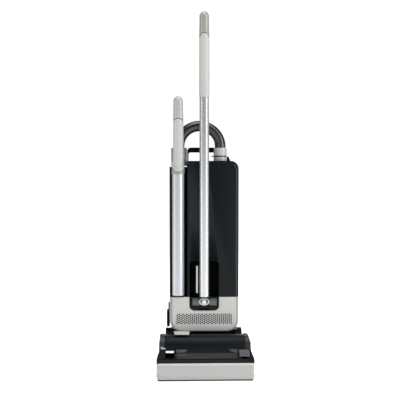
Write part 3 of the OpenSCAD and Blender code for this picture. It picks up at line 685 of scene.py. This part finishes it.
def wand_neck():
    """The stub between the tube's top and the inside of the grip."""
    lo, hi = cad("wand_tube")
    axis = middle("wand_tube")
    radius = (hi.x - lo.x) / 2 - 0.6
    low = hi.z + 2
    neck = [(0.5, low), (radius, low), (radius, low + 18), (radius - 3, low + 22), (0.5, low + 22)]
    solid("wand_neck", [lathe(neck, (axis.x, axis.y, 0))], "wand", "warm_grey")


HOSE_PITCH = 3.2  # from rib to rib
HOSE_RIB = 0.28   # how deep the valley between two ribs is
RIB_STEPS = 6     # rings of the mesh from rib to rib


def hose_line():
    """The hose's middle line in mm: up out of the housing's cuff, over, and down into the wand's cuff."""
    lo, hi = cad("hose")
    radius = 19.0
    y = (lo.y + hi.y) / 2
    right, left = hi.x - radius, lo.x + radius
    bend = (right - left) / 2
    arch = hi.z - radius - bend
    stub = arch - lo.z
    length = 2 * stub + math.pi * bend
    steps = round(length / HOSE_PITCH * RIB_STEPS)
    line = []
    for i in range(steps + 1):
        along = length * i / steps
        if along < stub:
            line.append((Vector((right, y, lo.z + along)), 0.0))
        elif along > length - stub:
            line.append((Vector((left, y, lo.z + length - along)), math.pi))
        else:
            angle = (along - stub) / bend
            centre = Vector(((left + right) / 2, y, arch))
            line.append((centre + Vector((math.cos(angle), 0, math.sin(angle))) * bend, angle))
    return line, radius, length


def make_hose():
    """A wire-wound hose: its ribs run round it as one long helix."""
    line, radius, length = hose_line()
    around = 44
    rings = []
    for i, (centre, angle) in enumerate(line):
        out = Vector((math.cos(angle), 0, math.sin(angle)))
        ring = []
        for k in range(around):
            turn = 2 * math.pi * k / around
            wave = 0.5 + 0.5 * math.cos(2 * math.pi * i / RIB_STEPS - turn)
            reach = radius - HOSE_RIB * (1 - wave ** 0.7)
            ring.append(centre + (out * math.cos(turn) + Vector((0, 1, 0)) * math.sin(turn)) * reach)
        rings.append(ring)
    hose = solid("hose_ribbed", [skin(rings)], None, "hose_black", ["hose"], smooth=80)
    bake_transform(hose)


def make_hose_cuff():
    """The housing's hose cuff, with a groove, a row of lugs round it and a softened lip."""
    lo, hi = cad("hose_cuff")
    low = cad("bag_housing")[1].z
    centre = middle("hose_cuff")
    outer = (hi.x - lo.x) / 2
    bore = outer - 3.4
    groove = (cad("cuff_ring")[0].z, cad("cuff_ring")[1].z)
    profile = [(bore, low + 0.2), (outer - 0.6, low + 0.2), (outer, low + 0.9), (outer, groove[0] - 0.6),
               (outer - 0.4, groove[0] - 0.1), (outer - 1.8, groove[0]), (outer - 1.8, groove[1]),
               (outer - 0.4, groove[1] + 0.1), (outer, groove[1] + 0.6), (outer, hi.z - 5),
               (outer + 0.01, hi.z - 1.6), (outer - 0.5, hi.z - 0.5), (outer - 1.6, hi.z),
               (bore + 0.6, hi.z), (bore, hi.z - 0.6)]
    solid("hose_cuff_shell", [lathe(profile, (centre.x, centre.y, 0), wrap=True)], "upright", "cuff_grey",
          ["hose_cuff"])
    lugs, bead_r, bead_half, ring_r = 18, 1.15, 1.3, outer - 1.2
    bead = [(0.1, -bead_half)] + [(bead_r * math.cos(a), bead_half * math.sin(a)) for a in
                                  [math.radians(d) for d in range(-60, 90, 30)]] + [(0.1, bead_half)]
    beads = []
    for i in range(lugs):
        angle = 2 * math.pi * i / lugs
        x = centre.x + ring_r * math.cos(angle)
        y = centre.y + ring_r * math.sin(angle)
        beads.append(lathe(bead, (x, y, (groove[0] + groove[1]) / 2), steps=10))
    solid("cuff_beads", beads, "upright", "black_plastic")


# ---------------------------------------------------------------- housings

def soften(node, width=1.0, segments=3):
    """Shows a CAD node with every sharp edge rounded."""
    refined(node + "_shell", node, [(lambda p, d: True, width, segments)])


def make_bag_housing():
    """The tall housing, its arched recess's rims round the handle tube's foot, and painted shade at its
    back.
    """
    top = cad("bag_housing")[1].z
    shoulder = 24
    front = cad("motor_housing_front")[0].y
    refined("bag_housing_shell", "bag_housing", [
        (lambda p, d: p.z > top - shoulder and not vertical(d), 4, 4),
        (lambda p, d: vertical(d) and near(p.y, front, 1), 1, 2)])
    low = cad("bag_housing")[0].z + 1.5
    arch_half, arch_top, corner = 50.8, 375.8, 16.8
    rim, clear_of_tube = 2.6, 18.5
    wide, high = arch_half + rim, arch_top + rim
    strip = [(clear_of_tube, arch_top, 0), (arch_half, arch_top, corner), (arch_half, low, 0),
             (wide, low, 0), (wide, high, corner + rim), (clear_of_tube, high, 0)]
    for name, side in (("left", -1), ("right", 1)):
        outline = [(side * x, z) for x, z in rounded(strip)]
        plate(f"recess_rim_{name}", [outline], front - 1.1, front + 0.4, 0.5, "front", "upright",
              "anthracite")
    gap, depth = 1.2, 19
    half, high, bend = arch_half - gap, arch_top - gap, corner - gap
    arch = rounded([(-half, low, 1), (half, low, 1), (half, high, bend), (-half, high, bend)])
    # A near-black sheet at the back of the recess: painted shade.
    shade_sheet = plate("recess_shade_sheet", [arch], front + depth, front + depth + 0.8, 0.2, "front", "upright",
                   "black_plastic")
    paint(shade_sheet, "black_plastic", "painted_shade_black")
    edge_line(front)


def edge_line(front):
    """The fine raised line just inside the housing's right edge, which follows its round shoulder: a
    painted highlight.
    """
    lo, hi = cad("bag_housing")
    shoulder, inset, width, proud = 28, 7.5, 1.8, 0.6
    outer, x, top = shoulder - inset, hi.x - inset, hi.z - inset
    corner = (x - outer, top - outer)
    foot, turn, steps = lo.z + 4, 62, 12
    outline = [(x, foot), *arc(corner, outer, 0, turn, steps)]
    outline += [*reversed(arc(corner, outer - width, 0, turn, steps)), (x - width, foot)]
    line = plate("housing_edge_highlight", [outline], front - proud, front + 0.3, 0.4, "front", "upright",
                 "anthracite")
    # Lighter than the housing: a painted highlight along the edge.
    paint(line, "anthracite", "highlight_trim_grey")


def grille_holes():
    """The holes of the exhaust grille, in staggered columns like those of the part behind."""
    columns, rows, pitch_x, pitch_z, low, radius = 29, 5, 6.55, 7, 161, 2.7
    return [circle((i - (columns - 1) / 2) * pitch_x, low + j * pitch_z + i % 2 * pitch_z / 2, radius, 14)
            for i in range(columns) for j in range(rows)]


def make_motor_housing():
    """Both halves: in front a raised face with the grille's holes and a near-black sheet of painted shade
    behind them.
    """
    lo, hi = cad("motor_housing_front")
    shell = refined("motor_front_shell", "motor_housing_front", [
        (lambda p, d: near(p.y, lo.y, 1) and (p.z < 175 or abs(p.x) > 100), 8, 6)])
    # The shell round the face in a darker copy of the light grey: painted shade on its sides and rim.
    paint(shell, "light_grey", "shaded_shell_grey")
    side, bottom, corner, proud = 9, 2.6, 34, 2.6
    notch_half, notch_low, notch_corner = 51.6, 203.6, 18.5
    top = hi.z - 0.6
    x = hi.x - side
    face = rounded([(-x, top, 1.5), (-notch_half, top, 1.5), (-notch_half, notch_low, notch_corner),
                    (notch_half, notch_low, notch_corner), (notch_half, top, 1.5), (x, top, 1.5),
                    (x, lo.z + bottom, corner), (-x, lo.z + bottom, corner)], 12)
    plate("motor_front_face", [face, *grille_holes()], lo.y - proud, lo.y + 0.15, 0.55, "front",
          "upright", "light_grey", ["exhaust_grille"])
    grille = cad("exhaust_grille")
    # A near-black sheet behind the holes: painted shade in them.
    shade_backing = plate("grille_shade_backing", [box_outline(grille[0].x, grille[1].x, grille[0].z, grille[1].z, 3)],
                  lo.y + 1.2, lo.y + 2, 0.2, "front", "upright", "black_plastic")
    paint(shade_backing, "black_plastic", "painted_shade_black")
    soften("motor_housing_rear", 1.6)
    back = cad("motor_housing_rear")[1].y
    louvres, pitch, tall = 5, 8, 4
    for k in range(louvres):
        z = 196 + pitch * k
        plate(f"rear_louvre_{k}", [box_outline(-84, 34, z, z + tall, 1.9, 4)], back - 0.6, back + 1.6, 0.9,
              "front", "upright", "anthracite")


def ellipse(half_x, half_z, z, steps=48):
    turns = [2 * math.pi * i / steps for i in range(steps)]
    return [(half_x * math.cos(a), z + half_z * math.sin(a)) for a in turns]


def crescent(side, z):
    """A crescent that bulges towards its side of the badge, -1 or 1."""
    outer, inner, tall = 13.2, 8.4, 8.2
    turns = [math.radians(d) for d in range(-58, 59, 8)]
    return ([(side * outer * math.cos(a), z + tall * math.sin(a)) for a in turns]
            + [(side * inner * math.cos(-a), z + tall * math.sin(-a)) for a in turns])


def make_panel():
    """The control panel's face, its two lens windows and a plain oval ornament in place of a badge."""
    soften("control_panel", 0.7)
    soften("power_switch", 0.4)
    soften("indicator_lenses", 0.5)
    lo, hi = cad("badge")
    half_x, half_z = (hi.x - lo.x) / 2, (hi.z - lo.z) / 2
    z = middle("badge").z
    rim = 2.4
    plate("badge_base", [ellipse(half_x, half_z, z)], lo.y + 1.2, hi.y, 0.5, "front", "upright",
          "badge_silver", ["badge"])
    plate("badge_rim", [ellipse(half_x, half_z, z), ellipse(half_x - rim, half_z - rim, z)],
          lo.y, lo.y + 1.6, 0.5, "front", "upright", "badge_silver")
    plate("badge_crescents", [crescent(-1, z), crescent(1, z)], lo.y + 0.8, lo.y + 1.5, 0.2, "front",
          "upright", "panel_gloss")
    plate("badge_centre", [ellipse(2.6, 5.4, z)], lo.y + 0.5, lo.y + 1.5, 0.3, "front", "upright",
          "white_plastic")


def make_back():
    """The bag door with its panel and ribs, its latch, both cable hooks and the mains inlet."""
    latch_proud = 6  # how far the latch stands out from the door's flat
    latch_face = cad("door_latch")[1].y
    door_face = latch_face - latch_proud

    def outer_rim(p, d):
        latch_slot = abs(p.x) < 8 and p.z > 630
        return near(p.y, door_face, 1) and not latch_slot

    refined("bag_door_shell", "bag_door", [(outer_rim, 2, 3)])
    plate("door_panel", [box_outline(-92, 92, 296, 612, 20)], door_face - 0.5, door_face + 0.9, 0.6,
          "front", "door", "anthracite")
    ribs, pitch, tall = 7, 16, 6
    for k in range(ribs):
        z = 318 + pitch * k
        plate(f"door_rib_{k}", [box_outline(-70, 70, z, z + tall, 2.9, 4)], door_face + 0.6,
              door_face + 2.4, 0.8, "front", "door", "anthracite")
    soften("door_latch", 1.2)
    ridges, pitch, tall = 4, 4.6, 2
    for k in range(ridges):
        z = 645 + pitch * k
        plate(f"latch_grip_{k}", [box_outline(-15, 15, z, z + tall, 0.9, 3)], latch_face - 0.3,
              latch_face + 0.9, 0.4, "front", "latch", "black_plastic")
    for node in ("cable_hook_lower", "cable_hook_upper"):
        soften(node, 1.8, 4)
    soften("mains_inlet", 0.8)


# ---------------------------------------------------------------- floor head

def bumper_ring(inset, z, lo, hi, corner, steps=10):
    """The bumper's plan at one height: up the left wing, round both front corners, down the right wing."""
    radius = max(corner - inset, 0.4)
    ring = [(lo.x + inset, hi.y, z)]
    for centre_x, start in ((lo.x + corner, 180), (hi.x - corner, 270)):
        ring += [(x, y, z) for x, y in arc((centre_x, lo.y + corner), radius, start, start + 90, steps)]
    ring.append((hi.x - inset, hi.y, z))
    return ring


def make_bumper():
    """A wrap-round bumper: rolled top edge, flat face, a bead below it and a stepped lower band."""
    lo, hi = cad("front_bumper")
    corner = 11
    step = 2.2
    thick = 9.6
    band = lo.z + 8
    roll, set_in, bead = 6, 1.1, 2.4
    face_top = hi.z - roll
    curve = [(roll - roll * math.sin(math.radians(d)), face_top + roll * math.cos(math.radians(d)))
             for d in range(0, 91, 15)]
    rolled = [(thick, hi.z), *curve, (0, face_top - 0.8), (set_in + 0.5, face_top - 1.4),
              (set_in + 2, face_top - 1.4), (roll, hi.z - 2), (thick, hi.z - 2)]
    profile = [(thick, hi.z - 2.4), (set_in + 2.4, hi.z - 4), (set_in, face_top - 1),
               (set_in, band + bead + 1.2), (0, band + bead), (0, band + 0.8), (0.8, band), (thick, band)]
    top = wrap_bumper("bumper_roll", rolled, lo, hi, corner)
    # The rolled top edge in a lighter grey: a painted highlight.
    paint(top, "bumper_grey", "lit_roll_grey")
    skirt = [(step + 2, band + 0.5), (step + 0.2, band - 0.3), (step, lo.z + 1.4), (step + 1, lo.z + 0.2),
             (thick - 0.4, lo.z), (thick - 0.4, band + 0.5)]
    wrap_bumper("bumper_shell", profile, lo, hi, corner, ["front_bumper"])
    strip = wrap_bumper("bumper_skirt", skirt, lo, hi, corner)
    # The lower band in a lighter copy of the bumper grey: painted light in its recess.
    paint(strip, "bumper_grey", "lit_skirt_grey")


def wrap_bumper(name, profile, lo, hi, corner, stands_for=()):
    """Sweeps a closed (inset, height) profile round the bumper's plan."""
    rings = [bumper_ring(inset, z, lo, hi, corner) for inset, z in profile]
    count = len(rings[0])
    points = [p for ring in rings for p in ring]
    faces = []
    for r in range(len(rings)):
        a, b = r * count, (r + 1) % len(rings) * count
        faces += [[a + i, a + i + 1, b + i + 1, b + i] for i in range(count - 1)]
    faces += [[r * count for r in range(len(rings))], [r * count + count - 1 for r in range(len(rings))]]
    return solid(name, [(points, faces)], "head", "bumper_grey", stands_for)


# The head's sloping cover: where it starts, and how far it runs back and rises.
SLOPE_Y, SLOPE_Z, SLOPE_RUN, SLOPE_RISE = -150, 69.5, 51, 22.5


def on_slope(name, outlines, low, high, bevel, body, slot, stands_for=()):
    """A plate on the head's sloping cover: outlines in (x, distance up the slope)."""
    mesh = plate_mesh(name, outlines, low, high, bevel, "top")
    mesh.transform(Matrix.Translation(Vector((0, SLOPE_Y, SLOPE_Z)) * MM)
                   @ Matrix.Rotation(math.atan2(SLOPE_RISE, SLOPE_RUN), 4, "X"))
    return placed(name, mesh, body, slot, stands_for)


# Raised trims of the cover: corners as (x, distance up the slope, radius), steps of each round corner,
# height and edge rounding.
COVER_TRIMS = {
    "cover_ridge": ([(-97, 21, 1.6), (-66, 19.4, 1.2), (-56, 22.6, 1.2), (-66, 25, 1.2), (-97, 24.6, 1.6)],
                    4, 1.7, 0.7),
    "cover_boss": ([(-96, 35, 3), (-70, 35, 3), (-62, 41, 3), (-58, 52, 3), (-96, 52, 3)], 6, 2.6, 1.1),
    "cover_bracket": ([(76, 52, 2), (84, 40, 3), (98, 33, 3), (107, 33, 3), (107, 52, 2)], 6, 3.0, 1.2),
}


def make_head_cover():
    """The sloping cover with its trims, the drum behind it, the release tab and the height slide."""
    soften("head_cover", 0.9)
    refined("drum_shell", "brush_motor_cover", [(lambda p, d: True, 1.3, 3)])
    on_slope("release_tab_face", [box_outline(-129.4, -102.9, 34.2, 44, 1.5)], -0.6, 1.6, 0.6, "release",
             "white_plastic", ["release_tab"])
    on_slope("release_tab_stem", [box_outline(-129, -103.3, 34.6, 43.6, 1)], -5.4, -0.7, 0.3, "release",
             "black_plastic")
    on_slope("height_slide_face", [box_outline(112.3, 145.7, 14, 50, 2)], -0.9, 0.8, 0.5, "height",
             "mid_grey", ["height_slide"])
    ridges, pitch, tall = 4, 3.4, 1.5
    for k in range(ridges):
        along = 20 + pitch * k
        on_slope(f"slide_grip_{k}", [box_outline(119, 139, along, along + tall, 0.7, 3)], 0.6, 1.5, 0.35,
                 "height", "mid_grey")
    sunk = -0.2
    lip = on_slope("front_lip", [box_outline(-155, 155, -0.8, 1.8, 1.2, 4)], sunk, 0.7, 0.4, "head",
                   "cover_gloss")
    # The lip is painted black: painted shade along the cover's front edge.
    paint(lip, "cover_gloss", "black_plastic")
    # A plate across the slope in a lighter grey: painted light on the slope's middle band.
    field = on_slope("cover_lit_band", [box_outline(-94, 104, 3.4, 32, 3)], sunk, 0.8, 0.5, "head",
                     "cover_gloss")
    paint(field, "cover_gloss", "lit_cover_grey")
    for name, (corners, steps, high, edge) in COVER_TRIMS.items():
        trim = on_slope(name, [rounded(corners, steps)], sunk, high, edge, "head", "cover_gloss")
        # The trims in a lighter grey than the cover: painted highlight streaks.
        paint(trim, "cover_gloss", "highlight_trim_grey")
    on_slope("cover_step", [box_outline(-50, 70, 44, 54, 3)], sunk, 1.2, 0.6, "head", "cover_gloss")


def make_cheeks():
    """The side cheeks, and what carries the upright between them."""
    outer = cad("cheeks")[1].x

    def upper_outline(p, d):
        return abs(p.x) > outer - 20 and p.z > 62 and not near(abs(d.x), 1, 0.05)

    shell = refined("cheek_shell", "cheeks", [(upper_outline, 2.2, 3)])
    # The cheeks in a lighter copy of the cover's colour: painted light.
    paint(shell, SLOT_OF["cheeks"], "lit_cover_grey")
    y = cad("cheeks")[0].y
    # A light-grey triangle on the left cheek: a painted highlight.
    glint = [(-146, 86, 1.2), (-146, 100.5, 2), (-126, 92, 1.5)]
    plate("cheek_highlight", [rounded(glint, 4)], y - 0.7, y + 0.4, 0.4, "front", "head", "light_grey")
    soften("pivot_arms", 2.2, 4)
    pivot_washers()
    soften("upright_base", 1.5)
    soften("tilt_pedal", 1.0)


def pivot_washers():
    """Thrust washers that fill the gap between each arm and the round foot of the upright."""
    pivot = middle("pivot_pins")
    foot = cad("upright_base")[1].x
    bore, radius, running, thick = 14, 44.5, 0.3, 0.6
    for name, side in (("left", -1), ("right", 1)):
        near_foot, far = side * (foot + running), side * (foot + running + thick)
        ring = [(bore, near_foot), (radius, near_foot), (radius, far), (bore, far)]
        solid(f"pivot_washer_{name}", [lathe(ring, (0, pivot.y, pivot.z), "x", 64, True)], "head",
              "black_plastic")


def make_wheel(name, hub, tyre, body):
    """A rear wheel: a tyre with three grooves, a rim and boss, and a disc with five openings."""
    lo, hi = cad(tyre)
    centre = middle(tyre)
    radius = (hi.z - lo.z) / 2
    width = hi.x - lo.x
    side = 1 if centre.x > 0 else -1
    inner, groove, soft = 35, 0.9, 3
    # The tyre's section: one side and its round shoulder, the grooves, then that side mirrored.
    tread = [(inner, -width / 2 + 1), (inner + 3, -width / 2 + 0.4)]
    tread += [(radius - soft + soft * math.sin(math.radians(d)),
               -width / 2 + soft - soft * math.cos(math.radians(d))) for d in (0, 30, 60, 90)]
    for at in (-4, 0, 4):
        tread += [(radius, at - 1.1), (radius - groove, at - 0.7), (radius - groove, at + 0.7),
                  (radius, at + 1.1)]
    shoulder_points = 6
    tread += [(r, -h) for r, h in reversed(tread[:shoulder_points])]
    solid(name + "_tyre_shell", [lathe(tread, centre, "x", 96, wrap=True)], body, "tyre", [tyre])
    rim = [(30, -7.2), (inner - 0.1, -7.8), (inner - 0.1, 7.8), (31, 7.8), (30, 7.0)]
    boss = [(0.5, -8), (9, -8), (9.5, -7.4), (11, 7.2), (10.2, 8.2), (0.5, 8.6)]
    spokes = 5
    half, taper = math.radians(26), 0.62
    near_boss, near_rim = 14.5, 27
    openings = []
    for k in range(spokes):
        turn = math.radians(360 / spokes * k + 90)
        sector = []
        for r, a in ((near_boss, -half * taper), (near_rim, -half), (near_rim, half),
                     (near_boss, half * taper)):
            sector.append((r * math.cos(turn + a), r * math.sin(turn + a), 2.6))
        openings.append([(centre.y + y, centre.z + z) for y, z in rounded(sector, 5)])
    parts = [lathe(rim, centre, "x", 72, wrap=True), lathe(boss, centre, "x", 40)]
    solid(name + "_hub_shell", parts, body, "hub_plastic", [hub])
    disc_low, disc_wide = centre.x + side * 2 - 2, 5
    disc = plate_mesh(name + "_disc", [circle(centre.y, centre.z, 30.6, 64), *openings], disc_low,
                      disc_low + disc_wide, 0.9, "side")
    placed(name + "_spokes", disc, body, "hub_plastic")


def make_brush():
    """Tufts of nylon in four spiral rows round the roller, each strand a thin square rod."""
    lo, hi = cad("brush_core")
    centre = middle("brush_core")
    bristles = cad("brush_bristles")
    reach = (bristles[1].z - bristles[0].z) / 2
    rng = random.Random(7)
    core_r = (hi.z - lo.z) / 2
    parts = []
    rows, tufts, strands = 4, 34, 7
    twist = 150  # degrees that a row turns over the roller's length
    thick = 0.42
    span = (bristles[0].x + 3, bristles[1].x - 3)
    for row in range(rows):
        for k in range(tufts):
            x = span[0] + (span[1] - span[0]) * (k + 0.5) / tufts
            turn = math.radians(360 / rows * row + twist * k / tufts)
            for _ in range(strands):
                angle = turn + rng.uniform(-0.09, 0.09)
                at = x + rng.uniform(-1.6, 1.6)
                lean = rng.uniform(-0.05, 0.05)
                ring_low, ring_top = [], []
                for c in range(4):
                    a = math.pi / 2 * c
                    off_x, off_t = thick * math.cos(a), thick * math.sin(a)
                    tip = reach - rng.uniform(0, 0.7)
                    for ring, r, slant in ((ring_low, core_r - 1, 0), (ring_top, tip, lean)):
                        phi = angle + slant + off_t / r
                        ring.append((at + off_x + slant * 8, centre.y + r * math.cos(phi),
                                     centre.z + r * math.sin(phi)))
                parts.append(skin([ring_low, ring_top]))
    solid("brush_tufts", parts, "brush_roller", "bristle", ["brush_bristles"])
    soften("brush_core", 0.8)


def make_dust_bag():
    """A filled paper bag: crowned faces, gusseted sides and soft creases."""
    lo, hi = cad("dust_bag")
    centre = (lo + hi) / 2
    half = (hi - lo) / 2
    rings = []
    levels, around = 60, 72
    boxy = 0.45  # 1 is an ellipse in plan, 0 a rectangle
    for i in range(levels + 1):
        t = -1 + 2 * i / levels  # from the foot to the top
        pinch = 0.16 + 0.84 * (1 - abs(t) ** 7) ** 0.5
        ring = []
        for k in range(around):
            a = 2 * math.pi * k / around
            c, n = math.cos(a), math.sin(a)
            u = math.copysign(abs(c) ** boxy, c)
            v = math.copysign(abs(n) ** boxy, n)
            gusset = 1 - 0.09 * max(0.0, 1 - abs(v) * 3.2) * (1 - t ** 4)
            crease = (1 - 0.012 * (1 + math.sin(23 * t + 5 * math.sin(2 * a)))
                      - 0.01 * (1 + math.sin(9 * a + 6 * t)))
            ring.append((centre.x + half.x * u * gusset * crease * (0.55 + 0.45 * pinch),
                         centre.y + half.y * v * crease * pinch, centre.z + half.z * t * 0.985))
        rings.append(ring)
    bag = solid("paper_bag", [skin(rings)], "upright", "bag_paper", ["dust_bag"], smooth=50)


make_camera()
MATERIALS = make_materials()
make_studio()
make_floor()
make_handle()
make_wand()
make_hose()
make_hose_cuff()
make_bag_housing()
make_motor_housing()
make_panel()
soften("carry_handle", 4.5, 5)
make_back()
make_bumper()
make_head_cover()
make_cheeks()
make_wheel("left_wheel", "wheel_left", "tyre_left", "left_wheel")
make_wheel("right_wheel", "wheel_right", "tyre_right", "right_wheel")
make_brush()
make_dust_bag()
SHOWN_OTHERWISE = {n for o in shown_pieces() for n in o.get("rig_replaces", [])}
for node_name in NODES:
    if node_name not in SHOWN_OTHERWISE:
        dress(node_name)
